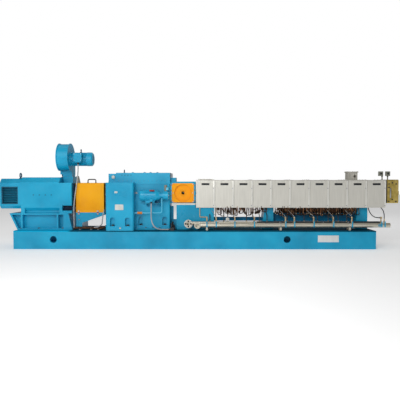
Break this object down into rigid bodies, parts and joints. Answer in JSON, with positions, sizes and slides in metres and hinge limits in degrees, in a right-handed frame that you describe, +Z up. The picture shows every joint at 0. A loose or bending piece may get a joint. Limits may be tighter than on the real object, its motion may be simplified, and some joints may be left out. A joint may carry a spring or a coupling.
{
  "type": "twin-screw plastic extruder",
  "caption": "Twin-screw plastics extruder: drive motor with blower, guarded coupling, gearbox, lantern, covered barrel with water pipes and die on one base frame.",
  "frame": {"origin": "middle of the base frame's underside, on the floor", "axes": "+X along the machine from the motor to the die, -Y to the operator, +Z up"},
  "size_m": [8.034, 1.1, 2.099],
  "materials": {
    "machine_blue": "gloss blue machine enamel",
    "base_blue": "satin blue enamel on welded steel",
    "guard_yellow": "satin yellow safety enamel",
    "cover_steel": "brushed stainless sheet",
    "barrel_steel": "machined steel, dark from heat",
    "bright_steel": "bright turned steel",
    "pipe_steel": "dull stainless pipe",
    "copper_tube": "dull brass and copper fittings",
    "die_bronze": "gold-coloured coating",
    "black_plastic": "matt black",
    "louvre_dark": "dark grey enamel",
    "conduit_grey": "light grey corrugated conduit",
    "hose_black": "black rubber hose",
    "sensor_grey": "slate grey housing"
  },
  "bodies": {
    "root": {"base_side_beams": "base_blue", "base_end_plates": "base_blue", "base_crossmembers": "base_blue", "base_deck": "base_blue", "motor_stand": "machine_blue", "motor_frame": "machine_blue", "motor_drive_end_shield": "machine_blue", "motor_rear_end_shield": "machine_blue", "motor_louvres": "louvre_dark", "lifting_eyes": "barrel_steel", "blower_seat": "machine_blue", "blower_volute": "machine_blue", "blower_motor": "machine_blue", "blower_terminal_box": "machine_blue", "shaft_coupling": "bright_steel", "coupling_guard": "guard_yellow", "guard_handle": "black_plastic", "coupling_speed_sensor": "sensor_grey", "guard_bracket": "machine_blue", "guard_latches": "bright_steel", "gearbox_input_housing": "machine_blue", "gearbox_output_housing": "machine_blue", "gearbox_lid": "machine_blue", "input_bearing_cover": "louvre_dark", "lantern": "machine_blue", "lantern_seat": "cover_steel", "lantern_switch": "conduit_grey", "lantern_guards": "guard_yellow", "screw_shafts": "bright_steel", "lantern_stand": "machine_blue", "barrel_modules": "barrel_steel", "feed_barrel": "barrel_steel", "vent_barrel": "barrel_steel", "barrel_covers": "cover_steel", "feed_barrel_cover": "cover_steel", "vent_barrel_cover": "cover_steel", "barrel_stands": "machine_blue", "cable_trough": "machine_blue", "water_supply_manifold": "pipe_steel", "water_return_manifold": "pipe_steel", "branch_valves": "copper_tube", "branch_tubes": "copper_tube", "feed_inlet": "barrel_steel", "vent_port": "barrel_steel", "die_adapter": "barrel_steel", "die_body": "die_bronze", "lube_bracket": "machine_blue", "lube_motor": "machine_blue", "lube_pump": "machine_blue", "lube_filter": "sensor_grey", "lube_pipes": "machine_blue", "melt_sensors": "sensor_grey", "conduit_glands": "black_plastic", "hose_fittings": "copper_tube", "blower_conduit": "conduit_grey", "lube_conduit": "conduit_grey", "cooling_hose": "hose_black", "drain_hose": "hose_black"}
  },
  "joints": []
}
